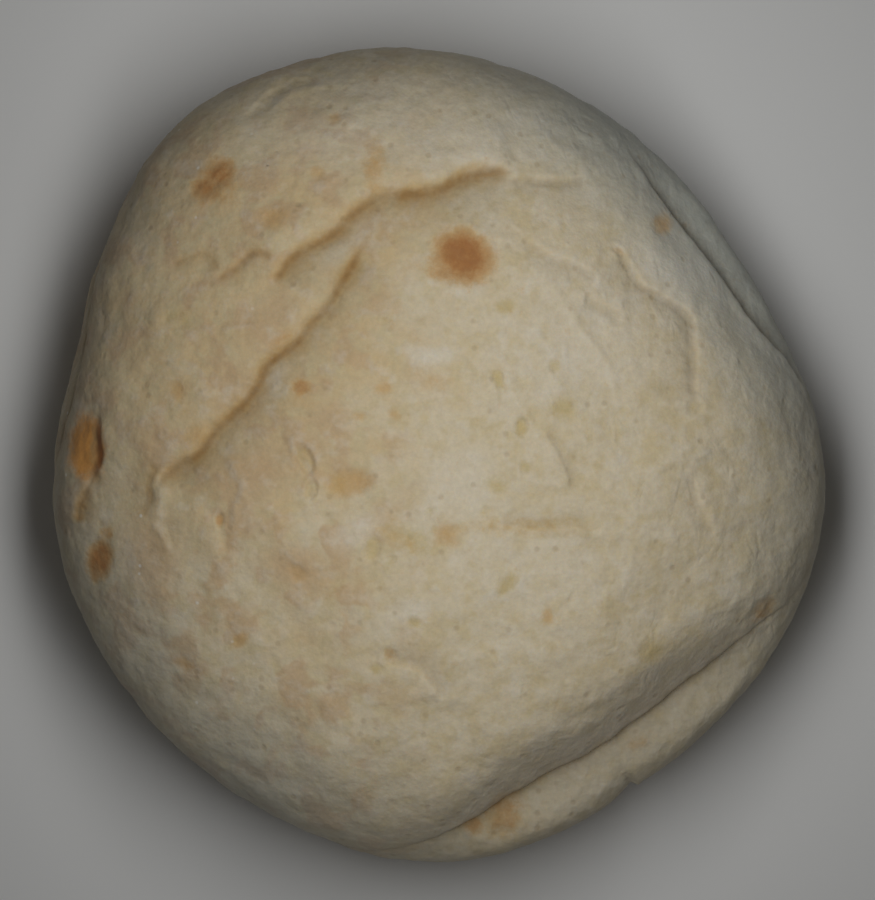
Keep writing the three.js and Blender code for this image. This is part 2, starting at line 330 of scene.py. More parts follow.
LONG_FOLD = Crease(
    2.1, 1.2, 0.0, 1.6, 0.9, 9, 4, tint=0.85, dust=0.25, shade=0.28, shade_reach=4.8, lean=0.6)
SHOULDER_FOLD = Crease(
    2.0, 1.2, 0.0, 2.4, 1.2, 9, 4, tint=0.98, dust=0.1, shade=0.3, shade_reach=4.5, lean=0.1)
SHORT_FOLD = Crease(0.15, 0.7, 0.05, 1.4, 0.7, 12, 3, tint=0.12, dust=0.0, shade=0.22, shade_reach=1.8)
WRINKLE = Crease(0.35, 0.35, 0.0, 0.9, 0.65, 4, 2.2, tint=0.04, dust=0.15, shade=0.09, shade_reach=1.3)
RIPPLE = Crease(0.3, 0.2, 0.0, 1.0, 1.0, 4, 2.5, tint=0.5, dust=0.1, shade=0.14, shade_reach=1.2)
VEIN = Crease(0.0, 0.0, -0.15, 0.4, 0.8, 2.0, 1, tint=0.0, dust=0.4)
RIM_FOLD = Crease(0.2, 0.3, 0.0, 0.8, 1.0, 5, 3, tint=0.0, dust=0.0, deep=0.95)
SEAM_FOLD = Crease(1.3, 1.2, 0.25, 1.8, 0.4, 9, 4, tint=0.2, dust=0.0)

# How many short straight lengths a fold has between two points of its path, how many of its reaches
# away it still counts, and how much of its fade its line takes: that shows nearer to the ends.
FOLD_STEPS = 8
FOLD_REACHES = 3
LINE_FADE = 0.75


@dataclass(frozen=True)
class Fold:
    """A fold of the crust along a curve on the plan. The proud side is on the left of its run."""

    crease: Crease
    path: Rows
    strength: float = 1.0
    fade_share: float = 0.16

    def line(self) -> Array:
        """Draws the curve through the path's points.

        Returns:
            The ends of its short straight lengths.
        """
        path = np.array([self.path[0], *self.path, self.path[-1]], float)
        share = np.linspace(0.0, 1.0, FOLD_STEPS, endpoint=False)[:, None]
        lengths = [glide(start, end, (end - before) / 2, (after - start) / 2, share)
                   for before, start, end, after in zip(path, path[1:], path[2:], path[3:])]
        return np.concatenate([*lengths, path[-1:]])

    def nearest(self, plan: Array) -> tuple[Array, Array]:
        """Measures plan points from the fold's line.

        Args:
            plan: Plan points.

        Returns:
            The signed distance of each point, and the share of the fold's run nearest to it.
        """
        line = self.line()
        runs = np.linalg.norm(np.diff(line, axis=0), axis=1)
        past = np.concatenate([[0.0], np.cumsum(runs)])
        reach = FOLD_REACHES * max(self.crease.reach_up, self.crease.reach_down)
        close = np.all((plan > line.min(0) - reach) & (plan < line.max(0) + reach), axis=1)
        x, y = plan[close].T
        best, best_share = np.full(len(x), np.inf), np.zeros(len(x))
        for start, end, run, before in zip(line, line[1:], runs, past):
            along_x, along_y = (end - start) / run
            off_x, off_y = x - start[0], y - start[1]
            t = np.clip(off_x * along_x + off_y * along_y, 0.0, run)
            away = np.hypot(off_x - t * along_x, off_y - t * along_y)
            left = along_x * off_y - along_y * off_x >= 0
            closer = away < np.abs(best)
            best = np.where(closer, np.where(left, away, -away), best)
            best_share = np.where(closer, (before + t) / past[-1], best_share)
        distance, share = np.full(len(plan), np.inf), np.zeros(len(plan))
        distance[close], share[close] = best, best_share
        return distance, share

    def along(self, share: Array, fade: float) -> Array:
        """Gives the fold's strength along its run, where it dies out over fade at both ends."""
        return self.strength * smooth_step(0, fade, share) * smooth_step(1, 1 - fade, share)

    def risen(self, share: Array) -> Array:
        """Gives how much of its relief the fold has along its run."""
        return self.along(share, self.fade_share)

    def shown(self, share: Array) -> Array:
        """Gives how strongly the fold's line shows along its run."""
        return self.along(share, LINE_FADE * self.fade_share)


FOLDS: dict[str, Fold] = {
    "crown fold": Fold(LONG_FOLD, (
        (-27, 27.2), (-26, 29.6), (-23.8, 31.8), (-20.9, 34.1), (-17.8, 35.8), (-15.8, 37.6),
        (-13.8, 39.8), (-10.8, 41.8), (-7.8, 42.7), (-3.8, 42.9), (-0.2, 43.5), (3.1, 45), (5.7, 46),
        (8.8, 46.6), (12.5, 46.4)), 1.0, 0.09),
    "crown fold run-out": Fold(SHORT_FOLD, (
        (11.4, 45.6), (12.6, 44.7), (14.8, 44.8), (17.7, 44.3), (20.4, 44.3), (23.9, 44.7)), 0.8),
    "crown fold ripple": Fold(RIPPLE, (
        (-35.4, 28.6), (-32.8, 29.6), (-30, 32.3), (-27.6, 32.5), (-25.6, 31.4))),
    "outer ripple": Fold(RIPPLE, (
        (-42, 30.4), (-40, 31.6), (-37.4, 32.6), (-35.6, 31.2), (-34.9, 29.6)), 0.6),
    "shoulder fold": Fold(SHOULDER_FOLD, (
        (-45.1, -5.4), (-44.1, -3.6), (-42.7, -2), (-40.5, -0.4), (-38.1, 1.5), (-35.8, 4.4),
        (-33.3, 6.9), (-31.1, 9.2), (-29, 11.9), (-28.1, 13.9), (-26.9, 15.5), (-24.4, 17.1),
        (-22.3, 19.1), (-20.6, 21.4), (-18.2, 24.3), (-16.3, 27.4), (-14.1, 31), (-11.4, 35.4)),
        1.0, 0.13),
    "shoulder fold branch": Fold(RIPPLE, (
        (-44.2, -0.8), (-44.9, -1.9), (-45.5, -3.6), (-45.6, -6), (-46.2, -8), (-46.9, -9.8)), 1.1),
    "branch ridge": Fold(VEIN, (
        (-43.9, -3.8), (-44.1, -6), (-44.8, -8.6), (-44.6, -11), (-43.4, -13.4), (-42.5, -15.7)), 1.4),
    "left rim fold": Fold(RIM_FOLD, (
        (-53.9, 8), (-53.6, 5.3), (-53.4, 3.2), (-53.5, 1), (-53.8, -0.8), (-54.5, -2.4),
        (-55.8, -4.4)), 1.0, 0.5),
    "left rim fold tail": Fold(RIPPLE, (
        (-57.2, -10.8), (-57.2, -8.3), (-56.6, -6.2), (-55.4, -4), (-54.3, -1.6)), 1.4),
    "right fold": Fold(SHORT_FOLD, (
        (28.6, 33.5), (31, 30.6), (32.6, 27.8), (35.9, 25.7), (39.2, 23.6), (40.7, 21.2), (40.6, 18.4),
        (41, 14.8), (40.9, 11.4), (41.2, 8.4)), 1.0, 0.1),
    "inner right wrinkle": Fold(WRINKLE, (
        (13.4, 35.2), (17.6, 32.3), (20.8, 31.2), (23.6, 30), (26.2, 29.3)), 1.6),
    "far right wrinkle": Fold(WRINKLE, ((40.6, -2.6), (41, -5.4), (42.6, -9.4), (44.6, -13.4)), 1.3),
    "far right vein": Fold(VEIN, ((33.8, -3.5), (36, -1.1), (39.2, -0.4), (42, 0.4), (45, 1.2)), 1.2),
    "middle pleat": Fold(WRINKLE, ((25, -10.9), (20, -10.6), (15.8, -10.9), (9.5, -10.5)), 1.3),
    "pleat vein": Fold(VEIN, ((18, -11.6), (24, -12.2), (30, -12.4), (34.5, -14)), 1.2),
    "front wrinkle": Fold(WRINKLE, (
        (0.6, -39), (-0.2, -36.4), (-2.9, -33.6), (-6.6, -32.6), (-9, -31)), 1.6),
    "far edge tuck": Fold(WRINKLE, ((-30.5, 53.6), (-27.2, 57.4), (-23.4, 59.9), (-18.6, 61)), 0.9),
    "far edge vein": Fold(VEIN, ((-27.5, 55), (-24, 57.8), (-19.5, 59.6), (-14.8, 60.4)), 1.2),
    "inner right wrinkle tail": Fold(WRINKLE, ((23.5, 26), (26.9, 24.3), (29.8, 23.2))),
    "right thread": Fold(VEIN, (
        (28.4, 9.6), (27.8, 13.4), (26.2, 16.6), (24, 19.4), (21.4, 22.8), (19.8, 26)), 1.5),
    "middle thread": Fold(WRINKLE, ((21.4, -5.8), (20.6, -1.4), (18.9, 2.2), (17, 5.2)), 1.2),
    "upper thread": Fold(VEIN, ((16, 4.2), (13.4, 7.8), (12.2, 11), (11.4, 14.6)), 1.3),
    "left thread": Fold(VEIN, (
        (-20.2, -8.4), (-19.8, -4.6), (-20.4, -1.2), (-22.6, 1.8), (-22.9, 4.4)), 1.4),
    "outer left thread": Fold(WRINKLE, ((-33.6, -15.7), (-34.6, -11.6), (-34.8, -8.2))),
    "lower left thread": Fold(VEIN, (
        (-31.6, -11.6), (-32.2, -8.2), (-30.9, -5.4), (-31.6, -2.6), (-34, 0)), 1.4),
    "left crossing vein": Fold(VEIN, (
        (-32, -9), (-27.4, -8), (-24.4, -10.4), (-19.5, -8.4), (-14, -9.6)), 1.1),
    "brown spot brow": Fold(VEIN, ((0, 33.6), (1.2, 35.8), (4.8, 37), (8.4, 34), (10.4, 30.2)), 1.2),
    "front crease": Fold(WRINKLE, ((51.8, -25.8), (53.2, -22.4)), 0.7),
}


@dataclass(frozen=True)
class Seam:
    """The rim seam, where the top skin meets the bottom skin, in rows of bearing, tilt and strength.

    The crust sags to it from both sides: steeply from the dome, and gently from the flat lip.
    """

    crease: Crease = SEAM_FOLD
    sag: float = 6.0
    dome_reach: float = 5.5
    lip_reach: float = 10.0
    run: Round = Round((
        (0, 88, 0.15), (10, 82, 0.25), (16, 76, 0.55), (22, 70.5, 0.8), (32, 68, 0.9), (44, 67.5, 0.85),
        (53, 70, 0.4), (61, 76, 0.0), (75, 88, 0.2), (115, 96, 0.15), (150, 82, 0.2), (168, 76, 0.3),
        (186, 86, 0.2), (215, 98, 0.15), (250, 92, 0.15), (266, 74, 0.3), (274, 65, 0.75),
        (286, 58.8, 1), (302, 59.2, 1), (315, 59.5, 1), (324, 62.8, 0.85), (332, 68.5, 0.35),
        (342, 80, 0.15),
    ))

    def distance(self, loaf: Loaf, tilt: Array, bearing: Array) -> Array:
        """Measures places on the loaf from the seam.

        Args:
            loaf: The loaf that the seam runs round.
            tilt: Angles from the crown, in degrees.
            bearing: Angles from +X, in degrees.

        Returns:
            The distance of each place, positive above the seam.
        """
        seam_tilt = self.run.at(bearing)
        away = np.linalg.norm(loaf.points(tilt, bearing) - loaf.points(seam_tilt, bearing), axis=1)
        return np.where(tilt < seam_tilt, away, -away)

    def strength(self, bearing: Array) -> Array:
        """Gives how strongly the seam shows on each bearing, from 0 to 1."""
        return self.run.at(bearing, 2)

    def sunk(self, distance: Array, bearing: Array) -> Array:
        """Gives how far the crust sags at distances from the seam, positive above it."""
        reach = np.where(distance > 0, self.dome_reach, self.lip_reach)
        return self.strength(bearing) * self.sag * bell(distance, reach)


class Bake(Enum):
    """What the oven did to a spot of the crust. The value names the mesh's attribute."""

    GOLD = "gold"
    TOAST = "toast"
    HONEY = "honey"
    OLIVE = "olive"
    FLOUR = "flour"
    BLUSH = "blush"


# Where the dent and the colour of a spot start and end, in shares of the spot's size, and the rise,
# place and width of the brow round a dent.
DENT_EDGE = (1.35, 0.55)
COLOUR_EDGE = (1.7, 0.3)
BROW = (0.2, 1.5, 0.4)


@dataclass(frozen=True)
class Spot:
    """An oval spot of the crust, with its half sizes, its turn in degrees, its amount and its depth."""

    bake: Bake
    x: float
    y: float
    length: float
    width: float
    turn: float = 0.0
    amount: float = 1.0
    sunk: float = 0.0

    def away(self, plan: Array) -> Array:
        """Measures plan points from the spot's middle.

        Args:
            plan: Plan points.

        Returns:
            How far away each point is, in shares of the spot's size.
        """
        along, across = turned(plan[:, 0] - self.x, plan[:, 1] - self.y, math.radians(self.turn))
        return np.hypot(along / self.length, across / self.width)

    def coloured(self, plan: Array) -> Array:
        """Gives how strongly the spot colours plan points."""
        return self.amount * smooth_step(*COLOUR_EDGE, self.away(plan))

    def dent(self, plan: Array) -> Array:
        """Finds how far the spot is sunk, with a slight brow round it.

        Args:
            plan: Plan points.

        Returns:
            The depth at each point, which is less than 0 on the brow.
        """
        rise, place, width = BROW
        away = self.away(plan)
        return self.sunk * (smooth_step(*DENT_EDGE, away) - rise * bell(away - place, width))


# The spots of each bake: x, y, half length, half width, turn in degrees, amount, and how far each is
# sunk.
SPOT_ROWS: dict[Bake, Rows] = {
    # The browned blisters.
    Bake.TOAST: (
        (4.3, 32.4, 4.6, 3.8, -30, 1.15, 0.55), (2.4, 31.2, 4.2, 3, 10, 0.7, 0.2),
        (-34.6, 45, 2.6, 2.2, 42, 0.88, 0.25), (-36.9, 42.9, 2.2, 1.8, 30, 0.84, 0.2),
        (-35, 43.5, 3.9, 3.4, 30, 0.6), (-54.5, 1.4, 3.4, 0.9, 88, 0.6),
        (-54.2, -16.4, 3.2, 1.9, 75, 0.95, 0.25), (-52.9, -12.2, 1.2, 1.2, 0, 0.5, 0.1),
        (29, 33.2, 1.3, 0.7, -30, 0.35, 0.2), (10.8, -57, 3.8, 2.8, 60, 0.55, 0.2),
        (5.8, -59, 2.2, 1.6, 20, 0.55, 0.2), (52.2, -24.5, 2.4, 1.6, 55, 0.45, 0.2),
        (-34.8, -9.8, 1.3, 0.6, 90, 0.6, 0.15), (-7.4, -31.2, 1.2, 0.8, -40, 0.4, 0.2),
        (-21.8, 11.2, 1.5, 1.3, 0, 0.75, 0.15), (-24.6, 18.6, 2.2, 1.2, 45, 0.45),
        (-10.2, 44.6, 1.5, 3, 10, 0.4),
    ),
    # The golden patch at the left rim.
    Bake.GOLD: (
        (-55.8, 1.6, 4.8, 2.7, 87, 0.95, 0.1),
    ),
    # Honey-coloured spots.
    Bake.HONEY: (
        (35.9, 37.3, 1.8, 1.5, 60, 0.8, 0.1), (-31.3, -29, 1.5, 1.1, 40, 0.9, 0.1),
        (-40.1, -32.8, 1.9, 1.2, -20, 0.7, 0.15), (-25.7, 37.8, 2.2, 1.8, 0, 0.75, 0.1),
        (-16.4, 54.1, 1.2, 1, 0, 0.7, 0.1), (-19.1, 45.1, 1.5, 1.1, 0, 0.65, 0.1),
        (-9.6, 47.6, 1.6, 3.4, 10, 0.6), (-40.9, 10.7, 1.4, 1.8, 0, 0.7, 0.1),
        (-38.4, 3.6, 2.4, 1.5, 40, 0.7), (-14.2, -4, 3.6, 2.2, 15, 0.9, 0.45),
        (-8.7, 10.9, 1.3, 1.1, 0, 0.8, 0.15), (-12.6, 6.7, 1.2, 0.9, 0, 0.6, 0.1),
        (-7, 7, 1.2, 0.9, -40, 0.6, 0.1), (-20.6, 8.8, 2, 1.6, 0, 0.4),
        (1.5, -12.3, 2.3, 2, 20, 0.75, 0.15), (-6, -13, 4, 1.1, -30, 0.4, 0.1),
        (13.5, -10.9, 10, 1.7, -2, 0.4), (-22.3, -18.4, 1.9, 1.3, -30, 0.6, 0.15),
        (-17, -21, 4.6, 2.6, 0, 0.35), (17.5, -25, 1, 1.4, 0, 0.7, 0.1),
        (32.6, -45.8, 2.2, 1.3, 30, 0.5), (-0.6, 12.2, 3, 1.6, 0, 0.45),
    ),
    # Olive-yellow spots, where the flour has rubbed off, and small pits.
    Bake.OLIVE: (
        (-4.8, -12.9, 5, 1.9, -20, 0.6), (20.2, 8, 2, 1.8, 0, 0.8, 0.12),
        (11, -20.2, 2.3, 1.2, 40, 0.75, 0.15), (34, -30.7, 2.1, 1.9, 0, 0.75, 0.12),
        (10.8, 24.3, 1.5, 1.2, 0, 0.8, 0.12), (13.5, 5.1, 1, 1.5, 0, 0.9, 0.4),
        (9.5, -4.3, 2, 1.5, 0, 0.65, 0.25), (9.8, 12.6, 1, 1.6, 20, 0.8, 0.35),
        (18.6, 14.6, 1.1, 1, 0, 0.6, 0.1), (14.2, -1.6, 1.1, 1, 0, 0.6, 0.1),
        (-3.8, -26.1, 1.1, 0.9, 0, 0.7, 0.15), (-9.9, -33.5, 1.2, 0.8, 0, 0.7, 0.15),
        (-15.6, -4.4, 1.6, 1.5, 0, 0.7, 0.15), (-41, 22, 2.6, 2, 0, 0.5, 0.1),
        (52, 4, 1.4, 1.8, 0, 0.4), (16.5, -10.3, 7.5, 1, 2, 0.3), (14.5, -11.4, 8, 2, -2, 0.4),
        (41, 8, 1.2, 1.2, 0, 0.5, 0.25), (-1.2, -8.6, 0.8, 0.8, 0, 0.5, 0.25),
        (7.1, -8.6, 0.7, 0.7, 0, 0.4, 0.25), (-10.3, -14.4, 1.3, 2, 0, 0.75, 0.5),
        (-7.3, -16.3, 0.8, 0.8, 0, 0.4, 0.2), (-21.2, -0.4, 1.2, 2.2, 20, 0.6, 0.6),
        (-20.2, -5.1, 0.9, 1.6, -10, 0.5, 0.45), (-8.4, 22.4, 1.3, 1, 20, 0.4, 0.2),
    ),
    # Floury patches.
    Bake.FLOUR: (
        (-0.6, 16.4, 3.4, 1.5, 5, 1), (2.8, -4.3, 6.5, 5.5, 0, 0.5), (-12.5, -12, 4, 2.4, 30, 0.6),
        (-26, 14, 6, 1.6, 52, 0.6), (38.5, 29.5, 8, 4.5, -50, 1), (24, 20, 12, 10, 0, 0.4),
        (-15, 34, 5, 1.6, 45, 0.5), (4, 50, 12, 4.5, 0, 0.5), (6, 27, 3, 1.4, 0, 0.5),
        (15, -18, 8, 6, 0, 0.35), (-4.4, -24.3, 3.4, 1.6, 20, 0.6), (-13, 52, 15, 5, 12, 0.4),
    ),
    # Patches where the crust has just begun to colour.
    Bake.BLUSH: (
        (-29.5, -2.4, 5.5, 4.2, 20, 0.8), (-22.5, -17.6, 5, 3.2, -15, 0.85),
        (-21.6, 0.8, 4, 3, 40, 0.7), (-17.2, 6.1, 3.4, 2.6, 0, 0.7), (-46, -16.3, 4.2, 6, 10, 0.75),
        (-26.5, 22.5, 5, 3.4, 45, 0.6), (-31.5, 9.5, 3.4, 5, -40, 0.6),
    ),
}
SPOTS = tuple(Spot(bake, *row) for bake, rows in SPOT_ROWS.items() for row in rows)

# Broad swells and hollows of the loaf: x, y, radius and height.
SWELLS: Rows = (
    (3, 2, 30, -1.3), (-45, 16, 13, 0.9), (-30, 44, 14, 0.8), (12, 56, 14, 0.7), (46, 6, 14, 0.8),
    (-14, -44, 18, 0.9), (-38, -28, 14, 0.4), (20, -24, 15, 0.5),
)

# Nicks in the lip's edge: the bearing where each starts steeply, the side of it that is cut (1 where
# bearings grow, else -1), over how many degrees it runs out there, and its depth.
NICKS: Rows = ((-58.8, -1, 3.4, 1.3),)

# A nick is deepest at a tilt and spreads over reach degrees of tilt. Edge is half of the degrees of
# bearing that its steep start takes.
NICK_TILT = 88.0
NICK_REACH = 20.0
NICK_EDGE = 0.4

# How many degrees of tilt count as one of bearing where the mesh is made finer for a nick.
NICK_STRETCH = 4.0

# Slight unevenness all over: wavelength, height and turn in radians.
UNEVENNESS: Rows = ((41, 0.3, 0.4), (27, 0.22, 1.7), (17, 0.14, 2.9))

# How the crust's tone drifts over the roll: x, y, radius and warmth, 0 being cream and 1 tan.
TONES: Rows = (
    (-34, 34, 24, 0.9), (-44, 6, 20, 0.75), (-18, 0, 22, 0.5), (-12, 30, 16, 0.45),
    (-20, -26, 18, 0.35), (46, -2, 30, -0.35), (8, -8, 16, -0.3), (4, -52, 26, -0.3),
    (38, 34, 20, -0.3), (10, -58, 9, 0.5), (0, 48, 12, 0.3),
)

# How cold and grey the crust turns toward the rim, past a share of the way there, partly flour and
# partly a painted cool light: bearing and share.
RIM_COOL = Round((
    (0, 0.45), (14, 0.8), (30, 0.95), (50, 0.95), (65, 0.85), (80, 0.5), (92, 0.25), (108, 0.1),
    (130, 0.12), (160, 0.1), (190, 0.25), (215, 0.4), (230, 0.4), (242, 0.55), (255, 0.3), (280, 0.15),
    (320, 0.2), (345, 0.35),
))
RIM_COOL_START = 0.68

# Painted shade: how much darker the crust is painted toward the rim, past a share of the way there:
# bearing and share.
RIM_PAINTED_SHADE = Round((
    (0, 0.15), (40, 0.05), (75, 0.3), (115, 0.28), (140, 0.2), (165, 0.1), (200, 0.1), (270, 0.0),
    (330, 0.0),
))
RIM_PAINTED_SHADE_START = 0.8


@dataclass(frozen=True)
class Relief:
    """Everything that stands proud of the plain loaf or is sunk in it."""

    loaf: Loaf = Loaf()
    seam: Seam = Seam()
    dome_fade: tuple[float, float] = (74.0, 90.0)
    warp: float = 0.35
    warp_length: float = 3.2
    warp_seed: int = 5

    def warped(self, places: Array) -> Array:
        """Shifts places a little to and fro, so that folds and spots get uneven edges.

        Args:
            places: Places on the plain loaf.

        Returns:
            The shifted places.
        """
        noise.seed_set(self.warp_seed)
        scale = 1.0 / self.warp_length
        drift = np.array([noise.noise_vector(Vector(place) * scale) for place in places])
        return places + self.warp * drift

    def over_dome(self, tilt: Array) -> Array:
        """Gives the share of the dome's relief that is left at a tilt: none below the widest level."""
        return 1.0 - smooth_step(*self.dome_fade, tilt)

    @staticmethod
    def nicks(bearing: Array) -> list[tuple[Array, float, float]]:
        """Gives the degrees past each nick on its cut side, how far it runs out, and its depth."""
        return [(side * (np.mod(bearing - start + 180.0, 360.0) - 180.0), run_out, depth)
                for start, side, run_out, depth in NICKS]

    def height(self, tilt: Array, bearing: Array, plan: Array) -> Array:
        """Adds up how far the crust moves out.

        Args:
            tilt: Angles from the crown, in degrees.
            bearing: Angles from +X, in degrees.
            plan: The same places on the plan.

        Returns:
            The move out of the plain loaf at each place.
        """
        dome = np.zeros(len(plan))
        for x, y, radius, rise in SWELLS:
            dome += rise * mound(plan, x, y, radius)
        for length, rise, turn in UNEVENNESS:
            wave = 2 * math.pi / length
            along, across = turned(plan[:, 0], plan[:, 1], turn)
            dome += rise * np.sin(wave * along + turn) * np.cos(wave * across - turn)
        for fold in FOLDS.values():
            distance, share = fold.nearest(plan)
            dome += fold.risen(share) * fold.crease.relief(distance)
        for spot in SPOTS:
            dome -= spot.dent(plan)
        rim = np.zeros(len(plan))
        for aside, run_out, depth in self.nicks(bearing):
            cut = smooth_step(-NICK_EDGE, NICK_EDGE, aside) * np.exp(-np.maximum(0.0, aside) / run_out)
            rim -= depth * cut * bell(tilt - NICK_TILT, NICK_REACH)
        distance = self.seam.distance(self.loaf, tilt, bearing)
        rim += self.seam.strength(bearing) * self.seam.crease.relief(distance)
        return self.over_dome(tilt) * dome + rim

    def marks(self, tilt: Array, bearing: Array, plan: Array) -> dict[str, Array]:
        """Finds how folds and seam mark the crust.

        Args:
            tilt: Angles from the crown, in degrees.
            bearing: Angles from +X, in degrees.
            plan: The same places on the plan.

        Returns:
            The strength of each mark at each place, from 0 to about 1.
        """
        marks = {mark: np.zeros(len(plan)) for mark in MARKS}
        over = self.over_dome(tilt)
        seam = self.seam
        lines = [(seam.crease, seam.strength(bearing), seam.distance(self.loaf, tilt, bearing))]
        for fold in FOLDS.values():
            distance, share = fold.nearest(plan)
            lines.append((fold.crease, over * fold.shown(share), distance))
        for crease, strength, distance in lines:
            for mark, amount in crease.marks(distance).items():
                marks[mark] = np.maximum(marks[mark], strength * amount)
        return marks


# ---- Finishes ------------------------------------------------------------------------------------


class Graph:
    """A material's nodes, added one by one."""

    def __init__(self, name: str) -> None:
        """Starts an empty material.

        Args:
            name: The material's name.
        """
        self.material = bpy.data.materials.new(name)
        self.material.use_nodes = True
        self.tree = self.material.node_tree
        self.tree.nodes.clear()

    def add(self, kind: str, inputs: dict | None = None, **settings) -> bpy.types.Node:
        """Adds a node.

        Args:
            kind: The node's type, without its ShaderNode prefix.
            inputs: A value or a socket for each input, by name or number.
            settings: The node's own settings.

        Returns:
            The node.
        """
        node = self.tree.nodes.new("ShaderNode" + kind)
        for name, value in settings.items():
            setattr(node, name, value)
        for name, value in (inputs or {}).items():
            if isinstance(value, Socket):
                self.tree.links.new(value, node.inputs[name])
            else:
                node.inputs[name].default_value = value
        return node

    @cached_property
    def place(self) -> Socket:
        """The place in the piece's own space, in millimetres."""
        inputs = {0: self.add("TexCoord").outputs["Object"], "Scale": 1 / MM}
        return self.add("VectorMath", inputs, operation="SCALE").outputs[0]

    def across(self) -> Socket:
        """Gives how far to the +X side the place is, in millimetres."""
        return self.add("SeparateXYZ", {0: self.place}).outputs["X"]

    def attribute(self, name: str) -> Socket:
        """Gives one of the piece's own attributes as a number."""
        return self.add("Attribute", attribute_name=name).outputs["Fac"]

    def stirred(self, size: float, reach: float, place: Socket | None = None) -> Socket:
        """Shifts places to and fro.

        Args:
            size: How far apart the turns of the shift are, in millimetres.
            reach: How far it goes, in millimetres.
            place: The places, where they aren't the piece's own.

        Returns:
            The shifted places.
        """
        place = self.place if place is None else place
        inputs = {"Vector": place, "Scale": 1 / size, "Detail": 1.0}
        cloud = self.add("TexNoise", inputs).outputs["Color"]
        shift = self.add("VectorMath", {0: cloud, 1: (-0.5,) * 3}, operation="ADD").outputs[0]
        inputs = {0: shift, 1: (2 * reach,) * 3, 2: place}
        return self.add("VectorMath", inputs, operation="MULTIPLY_ADD").outputs[0]

    def flecks(self, size: float, reach: float, share: float) -> Socket:
        """Strews small round flecks.

        Args:
            size: How far apart the places are that may have one, in millimetres.
            reach: The largest radius, in millimetres.
            share: The share of those places that has one.

        Returns:
            1 in the middle of a fleck and 0 off it.
        """
        cells = self.add("TexVoronoi", {"Vector": self.place, "Scale": 1 / size}, feature="F1")
        near = self.spread(cells.outputs["Distance"], reach / size, 0.3 * reach / size)
        draw = self.add("SeparateColor", {0: cells.outputs["Color"]}).outputs["Red"]
        return self.times(near, self.math("LESS_THAN", draw, share))

    def noise(self, size: float, detail: float = 2.0, rough: float = 0.5,
              place: Socket | None = None) -> Socket:
        """Adds cloudy noise, about 0.5.

        Args:
            size: How far apart its patches are, in millimetres.
            detail: How many finer noises are added.
            rough: How strong they are.
            place: Where it is read, where that isn't the piece's own place.

        Returns:
            The noise.
        """
        place = self.place if place is None else place
        inputs = {"Vector": place, "Scale": 1 / size, "Detail": detail, "Roughness": rough}
        return self.add("TexNoise", inputs).outputs["Fac"]

    def math(self, operation: str, *values: Socket | float) -> Socket:
        """Adds a sum of one, two or three values."""
        return self.add("Math", dict(enumerate(values)), operation=operation).outputs[0]

    def times(self, value: Socket, factor: Socket | float) -> Socket:
        """Multiplies two values."""
        return self.math("MULTIPLY", value, factor)

    def spread(self, value: Socket, low: float, high: float, to_low: float = 0.0,
               to_high: float = 1.0) -> Socket:
        """Stretches a value smoothly from one range to another, and stops it there."""
        ranges = dict(enumerate((value, low, high, to_low, to_high)))
        return self.add("MapRange", ranges, interpolation_type="SMOOTHSTEP").outputs["Result"]

    def mix(self, factor: Socket | float, under: Socket | Rgb, over: Socket | Rgb,
            blend: str = "MIX") -> Socket:
        """Lays one colour over another.

        Args:
            factor: How much of the upper colour shows.
            under: The lower colour, as a paint chart gives it or as a socket.
            over: The upper colour, likewise.
            blend: How they are mixed.

        Returns:
            The mixed colour.
        """
        node = self.add("Mix", data_type="RGBA", blend_type=blend, clamp_factor=True)
        for index, value in ((0, factor), (6, under), (7, over)):
            if isinstance(value, Socket):
                self.tree.links.new(value, node.inputs[index])
            else:
                node.inputs[index].default_value = linear(value) if index else value
        return node.outputs[2]

    def bump(self, height: Socket, depth: float,
             under: Socket | None = None) -> Socket:
        """Adds fine relief.

        Args:
            height: The relief, from 0 to 1.
            depth: How deep it is, in millimetres.
            under: The relief that it lies on.

        Returns:
            The shaded normal.
        """
        inputs = {"Height": height, "Distance": depth * MM, "Strength": 1.0}
        if under is not None:
            inputs["Normal"] = under
        return self.add("Bump", inputs).outputs["Normal"]

    def finish(self, shader: bpy.types.Node) -> bpy.types.Material:
        """Shows a shader on the surface.

        Args:
            shader: The shader's node.

        Returns:
            The finished material.
        """
        output = self.add("OutputMaterial")
        self.tree.links.new(shader.outputs[0], output.inputs["Surface"])
        return self.material


